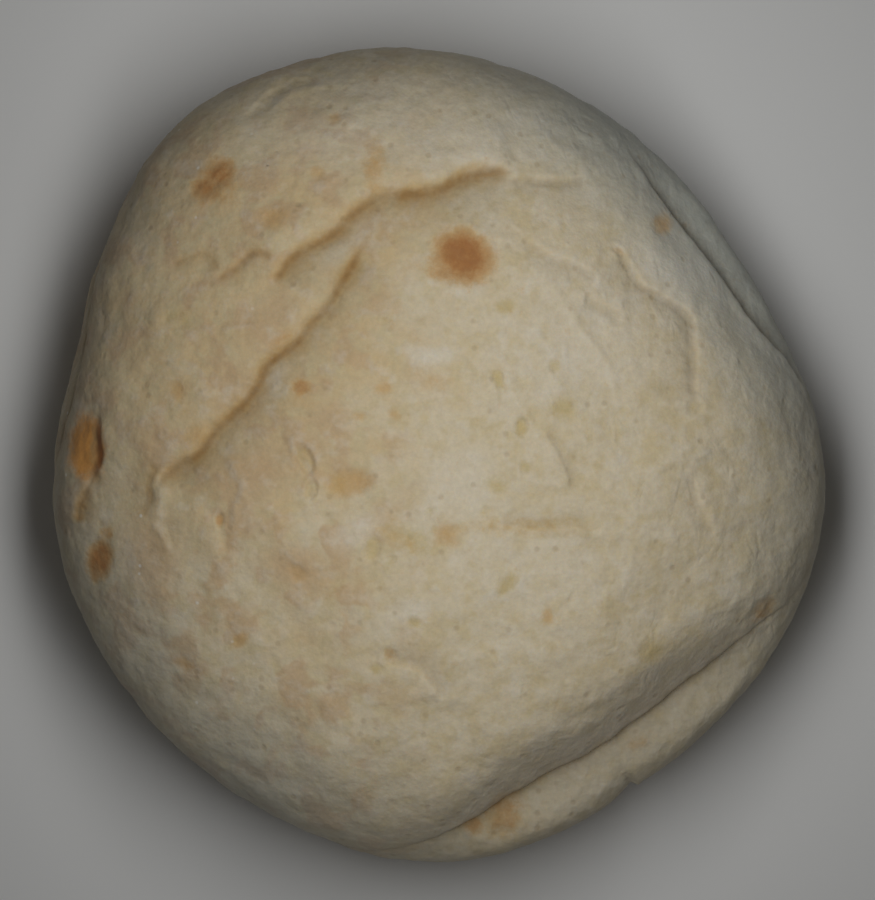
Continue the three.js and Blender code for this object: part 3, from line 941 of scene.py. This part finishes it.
@dataclass(frozen=True)
class CrustFinish:
    """Pale floury crust: cream, mottled with tan and flour, with honey, olive and toasted spots.

    Pores and specks have their spacing and largest radius in millimetres, and the share of their
    places that has one. Ridge_size is how wide the meshes are in the net of ridges, in millimetres.
    Glow_depth is how deep light goes into the crust, in millimetres.
    """

    cream: Rgb = (211, 197, 167)
    tan: Rgb = (206, 183, 141)
    # The cold rim's grey: partly flour, partly painted cool light.
    flour_and_cool_light: Rgb = (186, 188, 178)
    flour: Rgb = (219, 210, 191)
    straw: Rgb = (204, 187, 148)
    honey: Rgb = (200, 164, 110)
    olive: Rgb = (194, 174, 122)
    pore: Rgb = (160, 138, 104)
    gold: Rgb = (220, 156, 78)
    toast: Rgb = (184, 138, 86)
    char: Rgb = (162, 108, 62)
    tinge: Rgb = (194, 162, 108)
    cleft: Rgb = (174, 136, 84)
    # The cleft's dark brown bottom: browned crust with painted crevice shadow.
    deep: Rgb = (128, 80, 38)
    blush: Rgb = (196, 168, 130)
    # Colour of the painted shade on the seam's bank.
    painted_seam_shade: Rgb = (190, 178, 162)
    underside: Rgb = (190, 152, 100)
    speck: Rgb = (238, 236, 230)
    roughness: tuple[float, float] = (0.74, 0.92)
    specular: float = 0.25
    sheen: float = 0.1
    sheen_roughness: float = 0.5
    subsurface: float = 0.12
    glow_depth: float = 1.0
    glow_reach: tuple[float, float, float] = (1.0, 0.6, 0.3)
    pores: tuple[float, float, float] = (2.6, 0.7, 0.35)
    specks: tuple[float, float, float] = (3.0, 0.4, 0.2)
    ridge_size: float = 3.2

    def layers(self, graph: Graph, ridges: Socket, pores: Socket) -> list[Layer]:
        """Lists what lies over the cream, from the lowest up.

        Args:
            graph: The material's nodes.
            ridges: Where the fine ridges are.
            pores: Where the pores are.

        Returns:
            How much of each colour shows, and the colour.
        """
        across, drift = graph.across(), graph.noise(9.0, 2.0, 0.6)
        warmth = graph.attribute("warmth")
        warmth = graph.math("MULTIPLY_ADD", graph.math("SUBTRACT", drift, 0.5), 2.0, warmth)
        mottle = graph.noise(3.2, 2.0, 0.55, graph.stirred(5.0, 1.5))
        blotch = graph.noise(6.0, 2.0, 0.55, graph.stirred(6.0, 2.0))
        blotch = graph.spread(blotch, 0.48, 0.62, 0.0, 0.75)
        blotch = graph.times(blotch, graph.spread(across, 4.0, -18.0))
        dust = graph.spread(graph.noise(3.0, 2.0, 0.6), 0.48, 0.75, 0.0, 0.35)
        dust = graph.math("MULTIPLY_ADD", graph.attribute(Bake.FLOUR.value), 0.7, dust)
        sole = graph.times(graph.attribute("sole"), graph.spread(drift, 0.35, 0.6, 0.35, 0.95))
        specks = graph.times(graph.flecks(*self.specks), graph.spread(across, -15.0, -50.0, 0.0, 0.6))
        return [
            (graph.spread(warmth, 0.0, 1.0), self.tan),
            (graph.spread(mottle, 0.42, 0.66, 0.0, 0.8), self.straw),
            (graph.math("MAXIMUM", blotch, graph.attribute(Bake.BLUSH.value)), self.blush),
            (graph.math("MULTIPLY_ADD", ridges, 0.2, dust), self.flour),
            # The cold rim's grey, partly flour and partly painted cool light.
            (graph.attribute("flour_and_cool_light"), self.flour_and_cool_light),
            # Painted shade on the seam's bank.
            (graph.attribute("painted_seam_shade"), self.painted_seam_shade),
            (graph.times(pores, 0.3), self.pore),
            *self.spots(graph),
            *self.creases(graph),
            (sole, self.underside),
            (specks, self.speck),
        ]

    def spots(self, graph: Graph) -> list[Layer]:
        """Lists the olive, honey, golden and toasted spots, each with a ragged edge.

        Args:
            graph: The material's nodes.

        Returns:
            How much of each colour shows, and the colour.
        """
        ragged = graph.math("SUBTRACT", graph.noise(1.8, 5.0, 0.7), 0.5)
        layers = []
        for bake, shade, low, high, most in (
            (Bake.OLIVE, self.olive, 0.05, 1.0, 0.85),
            (Bake.HONEY, self.honey, 0.05, 1.0, 0.8),
            (Bake.GOLD, self.gold, 0.1, 0.8, 0.95),
            (Bake.TOAST, self.honey, 0.05, 0.6, 0.7),
            (Bake.TOAST, self.toast, 0.3, 1.0, 0.95),
            (Bake.TOAST, self.char, 0.75, 1.2, 0.75),
        ):
            amount = graph.math("MULTIPLY_ADD", ragged, 0.9, graph.attribute(bake.value))
            layers.append((graph.spread(amount, low, high, 0.0, most), shade))
        return layers

    def creases(self, graph: Graph) -> list[Layer]:
        """Lists the marks of the creases: floury crests, a soft tinge, a thin line and a dark bottom
        with painted crevice shadow.

        Args:
            graph: The material's nodes.

        Returns:
            How much of each colour shows, and the colour.
        """
        drift = graph.noise(2.4, 4.0, 0.6)
        crest = graph.times(graph.attribute("crest"), graph.spread(drift, 0.35, 0.65, 0.1, 0.6))
        ragged = graph.spread(drift, 0.3, 0.7, 0.7, 1.2)
        patchy = graph.spread(graph.noise(4.5), 0.3, 0.65, 0.35, 0.85)
        tinge, cleft = (graph.times(graph.times(graph.attribute(mark), ragged), patchy)
                        for mark in ("tinge", "cleft"))
        deep = graph.attribute("deep")
        return [(crest, self.flour), (tinge, self.tinge), (cleft, self.cleft), (deep, self.deep)]

    def ridges(self, graph: Graph) -> Socket:
        """Finds the net of fine ridges where the crust has shrunk, in patches on the +X side.

        Args:
            graph: The material's nodes.

        Returns:
            1 on a ridge and 0 off it.
        """
        stretch = {"Vector": graph.place, "Scale": (1.0, 0.6, 0.8), "Rotation": (0, 0, 0.25)}
        pulled = graph.stirred(3.5, 2.4, graph.add("Mapping", stretch).outputs[0])
        meshes = {"Vector": pulled, "Scale": 1 / self.ridge_size}
        edge = graph.add("TexVoronoi", meshes, feature="DISTANCE_TO_EDGE").outputs["Distance"]
        patch = graph.spread(graph.noise(7.0), 0.4, 0.62)
        region = graph.times(patch, graph.spread(graph.across(), -14.0, 8.0, 0.15, 1.0))
        return graph.times(graph.spread(edge, 0.32, 0.02), region)

    def colour(self, graph: Graph, ridges: Socket, pores: Socket) -> Socket:
        """Lays the layers on, with fine grain, and paints shade on the rim, the seam and the sunken
        sides of creases, and light on the seam's bank where the rim is cold.

        Args:
            graph: The material's nodes.
            ridges: Where the fine ridges are.
            pores: Where the pores are.

        Returns:
            The crust's colour.
        """
        colour = self.cream
        for amount, shade in self.layers(graph, ridges, pores):
            colour = graph.mix(amount, colour, shade)
        grain = graph.spread(graph.noise(1.0, 3.0, 0.7), 0.25, 0.75, 0.93, 1.05)
        # Painted shade darkens the rim, the seam and the creases' sunken sides; below 0 it is painted
        # light on the seam's bank.
        level = graph.math("SUBTRACT", grain, graph.attribute("painted_shading"))
        grey = graph.add("CombineColor", {0: level, 1: level, 2: level}).outputs[0]
        return graph.mix(1.0, colour, grey, "MULTIPLY")

    def material(self) -> bpy.types.Material:
        """Makes the material, with the peel, ridges, pores and grain that are finer than the mesh.

        Returns:
            The finished material.
        """
        graph = Graph("floury_crust")
        ridges, pores = self.ridges(graph), graph.flecks(*self.pores)
        raised = graph.bump(graph.math("MULTIPLY_ADD", pores, -0.6, ridges), 0.07)
        peel = graph.bump(graph.noise(1.5), 0.18, raised)
        shader = graph.add("BsdfPrincipled", {
            "Base Color": self.colour(graph, ridges, pores),
            "Roughness": graph.spread(graph.noise(2.0, 3.0), 0.3, 0.7, *self.roughness),
            "Normal": graph.bump(graph.noise(0.4, 2.0, 0.6), 0.02, peel),
            "Specular IOR Level": self.specular,
            "Sheen Weight": self.sheen,
            "Sheen Roughness": self.sheen_roughness,
            "Subsurface Weight": self.subsurface,
            "Subsurface Scale": self.glow_depth * MM,
            "Subsurface Radius": self.glow_reach,
        })
        return graph.finish(shader)


@dataclass(frozen=True)
class FloorFinish:
    """A plain pale studio floor."""

    colour: Rgb = (226, 226, 224)

    def material(self) -> bpy.types.Material:
        """Makes the floor's material.

        Returns:
            The material.
        """
        graph = Graph("studio_floor")
        shader = graph.add("BsdfPrincipled", {"Base Color": linear(self.colour), "Roughness": 0.9,
                                              "Specular IOR Level": 0.1})
        return graph.finish(shader)


# ---- Pieces --------------------------------------------------------------------------------------


def start_mesh() -> None:
    """Leaves nothing selected, so that the next operators act on the new mesh alone."""
    bpy.ops.object.select_all(action="DESELECT")


def coordinates(piece: Piece) -> Array:
    """Reads the places of a piece's vertices.

    Args:
        piece: The piece.

    Returns:
        A place for each vertex.
    """
    flat = np.empty(len(piece.data.vertices) * 3)
    piece.data.vertices.foreach_get("co", flat)
    return flat.reshape(-1, 3)


def move_to(piece: Piece, places: Array) -> None:
    """Moves each vertex of a piece to its place."""
    piece.data.vertices.foreach_set("co", places.astype(np.float32).ravel())
    piece.data.update()


def write_attribute(piece: Piece, name: str, values: Array) -> None:
    """Stores a number for each vertex of a piece as its attribute of that name."""
    attribute = piece.data.attributes.new(name, "FLOAT", "POINT")
    attribute.data.foreach_set("value", values.astype(np.float32))


@dataclass(frozen=True)
class SeamTone:
    """How light and shade are painted on the crust at the seam, in shares, and reaches in millimetres.

    The bank above the seam has painted shade by bank, and where the rim is cold painted light
    lightens it by its own share and a painted line of shade runs along the seam. Where the rim is warm
    the lip has painted shade, and the bank takes on the colour of the painted seam shade.
    """

    edge: float = 1.2
    bank: float = 0.05
    painted_light_on_cold_bank: float = 0.8
    bank_start: float = 2.0
    bank_reach: float = 3.5
    line: float = 0.42
    line_width: float = 1.9
    lip: float = 0.12
    painted_seam_shade: float = 0.5

    def on_bank(self, inside: Array) -> Array:
        """Gives how much places belong to the bank, by their distance above the seam."""
        fall = np.exp(-np.maximum(0.0, inside - self.bank_start) / self.bank_reach)
        return smooth_step(0.0, self.edge, inside) * fall

    def painted_shading(self, inside: Array, cold: Array) -> Array:
        """Finds the painted shade and painted light on the crust.

        Args:
            inside: Distances from the seam, positive above it.
            cold: How cold the rim is on each bearing.

        Returns:
            The share by which the crust is painted darker, which is less than 0 where light is painted.
        """
        line = self.line * cold * bell(inside, self.line_width)
        lip = self.lip * (1.0 - cold) * smooth_step(0.0, -self.edge, inside)
        return line + lip + (self.bank - self.painted_light_on_cold_bank * cold) * self.on_bank(inside)


@dataclass
class Roll:
    """The bread roll: one closed skin of crust, drawn out of a ball of dough."""

    relief: Relief = field(default_factory=Relief)
    finish: CrustFinish = field(default_factory=CrustFinish)
    seam_tone: SeamTone = field(default_factory=SeamTone)
    ball_rounds: int = 5
    cut_rounds: int = 6
    dome_edge: float = 1.0
    side_edge: float = 1.35
    foot_edge: float = 2.8
    fold_edge: float = 0.4
    fold_reach: float = 1.0
    fold_blend: float = 2.0
    faint_seam: float = 0.22
    sole_edge: tuple[float, float] = (11.0, 1.0)
    rumples: tuple[tuple[str, float, float], ...] = (("swells", 8.0, 0.7), ("puckers", 3.0, 0.38))
    loose_crust: str = "loose_crust"
    shift: Array = field(default_factory=lambda: np.zeros(3))
    piece: Piece | None = None

    def ball(self) -> Piece:
        """Adds the ball of dough that the roll is drawn out of.

        Returns:
            The ball.
        """
        start_mesh()
        bpy.ops.mesh.primitive_ico_sphere_add(subdivisions=self.ball_rounds, radius=1.0)
        piece = bpy.context.active_object
        piece.name = piece.data.name = "roll_crust"
        return piece

    @staticmethod
    def directions(piece: Piece) -> Array:
        """Gives the direction of each vertex of the ball from its middle."""
        places = coordinates(piece)
        return places / np.linalg.norm(places, axis=1)[:, None]

    def edge_length(self, directions: Array) -> Array:
        """Finds how fine the mesh is to be: finest along folds and seam.

        Args:
            directions: Unit directions from the middle.

        Returns:
            The longest edge that is wanted in each direction, in millimetres.
        """
        loaf, seam = self.relief.loaf, self.relief.seam
        tilt, bearing = loaf.tilt(directions), loaf.bearing(directions)
        places = loaf.points(tilt, bearing)
        shows = seam.strength(bearing) > self.faint_seam
        near = np.where(shows, np.abs(seam.distance(loaf, tilt, bearing)), np.inf)
        for aside, _, _ in self.relief.nicks(bearing):
            near = np.minimum(near, np.hypot(aside, (tilt - NICK_TILT) / NICK_STRETCH))
        over = np.flatnonzero(tilt < self.relief.dome_fade[1])
        for fold in FOLDS.values():
            near[over] = np.minimum(near[over], np.abs(fold.nearest(places[over, :2])[0]))
        plain = np.where(tilt < self.relief.dome_fade[0], self.dome_edge, self.side_edge)
        close = smooth_step(self.fold_reach, self.fold_reach + self.fold_blend, near)
        wanted = self.fold_edge + (plain - self.fold_edge) * close
        return np.where((tilt > 90) & (places[:, 2] <= 0), self.foot_edge, wanted)

    def subdivide(self, piece: Piece) -> None:
        """Halves the edges of the ball that are longer than is wanted.

        Args:
            piece: The ball.
        """
        directions = self.directions(piece)
        wanted, places = self.edge_length(directions), self.relief.loaf.on(directions)
        ends = np.empty(len(piece.data.edges) * 2, np.int32)
        piece.data.edges.foreach_get("vertices", ends)
        start, end = ends.reshape(-1, 2).T
        length = np.linalg.norm(places[start] - places[end], axis=1)
        is_long = length > (wanted[start] + wanted[end]) / 2
        bpy.context.tool_settings.mesh_select_mode = (False, True, False)
        bpy.ops.object.mode_set(mode="EDIT")
        bpy.ops.mesh.select_all(action="DESELECT")
        bpy.ops.object.mode_set(mode="OBJECT")
        piece.data.edges.foreach_set("select", is_long)
        bpy.ops.object.mode_set(mode="EDIT")
        bpy.ops.mesh.subdivide(number_cuts=1)
        bpy.ops.mesh.select_all(action="SELECT")
        bpy.ops.mesh.quads_convert_to_tris(quad_method="BEAUTY", ngon_method="BEAUTY")
        bpy.ops.object.mode_set(mode="OBJECT")

    def rumple(self, piece: Piece, on_foot: Array) -> None:
        """Gives the crust its slight swells and puckers, all but the foot that it rests on.

        Args:
            piece: The roll.
            on_foot: Which vertices lie on the foot.
        """
        group = piece.vertex_groups.new(name=self.loose_crust)
        group.add([int(index) for index in np.flatnonzero(~on_foot)], 1.0, "REPLACE")
        for name, size, depth in self.rumples:
            clouds = bpy.data.textures.new(name, "CLOUDS")
            clouds.noise_scale = size * MM
            clouds.noise_depth = 1
            bpy.ops.object.modifier_add(type="DISPLACE")
            rumple = piece.modifiers[-1]
            rumple.texture = clouds
            rumple.texture_coords = "LOCAL"
            rumple.vertex_group = self.loose_crust
            rumple.mid_level = 0.5
            rumple.strength = depth * MM
            bpy.ops.object.modifier_apply(modifier=rumple.name)

    def dress(self, piece: Piece, tilt: Array, bearing: Array, places: Array) -> None:
        """Stores where the crust is browned, floury or warm, where shade and light are painted on it,
        and gives it its finish.

        Args:
            piece: The roll.
            tilt: Each vertex's angle from the crown, in degrees.
            bearing: Each vertex's angle from +X, in degrees.
            places: Each vertex's place on the plain loaf, slightly warped.
        """
        plan = places[:, :2]
        over = self.relief.over_dome(tilt)
        for bake in Bake:
            amount = np.zeros(len(plan))
            for spot in (spot for spot in SPOTS if spot.bake is bake):
                amount = np.maximum(amount, spot.coloured(plan))
            write_attribute(piece, bake.value, amount * over)
        warmth = np.zeros(len(plan))
        for x, y, radius, tone in TONES:
            warmth += tone * mound(plan, x, y, radius)
        write_attribute(piece, "warmth", warmth)
        marks = self.relief.marks(tilt, bearing, plan)
        # The creases' painted shade joins the painted shading of rim and seam.
        shade = marks.pop("shade")
        for mark, amount in marks.items():
            write_attribute(piece, mark, amount)
        share = np.linalg.norm(plan, axis=1) / self.relief.loaf.outline.at(bearing)
        seam, cold = self.relief.seam, RIM_COOL.at(bearing)
        inside, strength = seam.distance(self.relief.loaf, tilt, bearing), seam.strength(bearing)
        # Painted shade colour on the seam's bank where the rim is warm.
        painted_seam_shade = self.seam_tone.painted_seam_shade * strength * (1.0 - cold) * self.seam_tone.on_bank(inside)
        # Painted shade toward the rim, and the seam's painted shade and painted light.
        rim = RIM_PAINTED_SHADE.at(bearing) * smooth_step(RIM_PAINTED_SHADE_START, 1.0, share)
        # The rim's grey, partly flour and partly painted cool light.
        write_attribute(piece, "flour_and_cool_light", cold * smooth_step(RIM_COOL_START, 1.0, share))
        write_attribute(piece, "painted_shading", rim + strength * self.seam_tone.painted_shading(inside, cold) + shade)
        write_attribute(piece, "painted_seam_shade", painted_seam_shade)
        write_attribute(piece, "sole", smooth_step(*self.sole_edge, places[:, 2]) * (tilt > 90))
        piece.data.materials.append(self.finish.material())

    def build(self) -> None:
        """Models the roll, and sets it where its solid is."""
        piece = self.ball()
        for _ in range(self.cut_rounds):
            self.subdivide(piece)
        loaf = self.relief.loaf
        directions = self.directions(piece)
        tilt, bearing = loaf.tilt(directions), loaf.bearing(directions)
        places = loaf.points(tilt, bearing)
        warped = self.relief.warped(places)
        height = self.relief.height(tilt, bearing, warped[:, :2])
        on_foot = (tilt > 90) & (places[:, 2] <= 0)
        height[on_foot] = 0.0
        risen = places + height[:, None] * loaf.normals(directions)
        seam = self.relief.seam
        risen[:, 2] -= seam.sunk(seam.distance(loaf, tilt, bearing), bearing) * ~on_foot
        risen[:, 2] = np.maximum(0.0, risen[:, 2])
        low, high = (np.array(corner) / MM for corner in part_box(NODE))
        middle = (risen.min(0) + risen.max(0)) / 2
        self.shift = (low + high) / 2 - middle
        self.shift[2] = 0.0
        move_to(piece, (risen + self.shift) * MM)
        self.rumple(piece, on_foot)
        bpy.ops.object.shade_smooth()
        self.dress(piece, tilt, bearing, warped)
        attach(piece, BODY)
        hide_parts(NODE)
        self.piece = piece


# ---- Studio --------------------------------------------------------------------------------------


@dataclass
class Studio:
    """The floor, the soft light and the camera that looks straight down on the roll."""

    roll: Roll
    picture: tuple[int, int] = (875, 900)
    mm_per_pixel: float = 0.16
    middle_pixel: tuple[float, float] = (437.5, 458.0)
    camera_height: float = 3.0
    sensor: float = 36.0
    seen_level: float = 30.0
    floor_size: float = 3.0
    key_place: tuple[float, float, float] = (6.0, 27.0, 185.0)
    key_size: tuple[float, float] = (0.06, 0.22)
    key_power: float = 0.18
    fill: float = 0.05

    def floor(self) -> None:
        """Lays the pale floor that the roll rests on."""
        start_mesh()
        bpy.ops.mesh.primitive_plane_add(size=self.floor_size, location=(0, 0, 0))
        floor = bpy.context.active_object
        floor.name = floor.data.name = "studio_floor"
        floor.data.materials.append(FloorFinish().material())

    def light(self) -> None:
        """Hangs one soft lamp close over the roll and adds a weak even fill."""
        start_mesh()
        place = (np.array(self.key_place) + self.roll.shift) * MM
        bpy.ops.object.light_add(type="AREA", location=place)
        lamp = bpy.context.active_object
        lamp.name = "key_light"
        lamp.data.shape = "RECTANGLE"
        lamp.data.size, lamp.data.size_y = self.key_size
        lamp.data.energy = self.key_power
        lamp.visible_camera = False
        world = bpy.data.worlds.new("studio")
        bpy.context.scene.world = world
        world.use_nodes = True
        world.node_tree.nodes["Background"].inputs["Color"].default_value = (1.0, 1.0, 1.0, 1.0)
        world.node_tree.nodes["Background"].inputs["Strength"].default_value = self.fill

    def camera(self) -> None:
        """Sets the camera straight above, framed as the photograph is."""
        wide, high = self.picture
        across, down = self.middle_pixel
        x = self.roll.shift[0] + (wide / 2 - across) * self.mm_per_pixel
        y = self.roll.shift[1] - (high / 2 - down) * self.mm_per_pixel
        start_mesh()
        bpy.ops.object.camera_add(location=(x * MM, y * MM, self.camera_height), rotation=(0, 0, 0))
        camera = bpy.context.active_object
        camera.name = "camera"
        camera.data.sensor_width = self.sensor
        reach = self.camera_height - self.seen_level * MM
        camera.data.lens = self.sensor * reach / (max(wide, high) * self.mm_per_pixel * MM)
        camera.data.clip_end = 2 * self.camera_height
        bpy.context.scene.camera = camera

    def build(self) -> None:
        """Sets up the studio."""
        self.floor()
        self.light()
        self.camera()
        bpy.context.scene.view_settings.view_transform = "Standard"


def main() -> None:
    """Builds the roll and its studio, and keeps the sizes of solid and looks."""
    logging.basicConfig(level=logging.INFO, format="%(name)s: %(message)s")
    roll = Roll()
    roll.build()
    log.info("roll crust: %d triangles", len(roll.piece.data.polygons))
    Studio(roll).build()


if __name__ == "__main__":
    main()
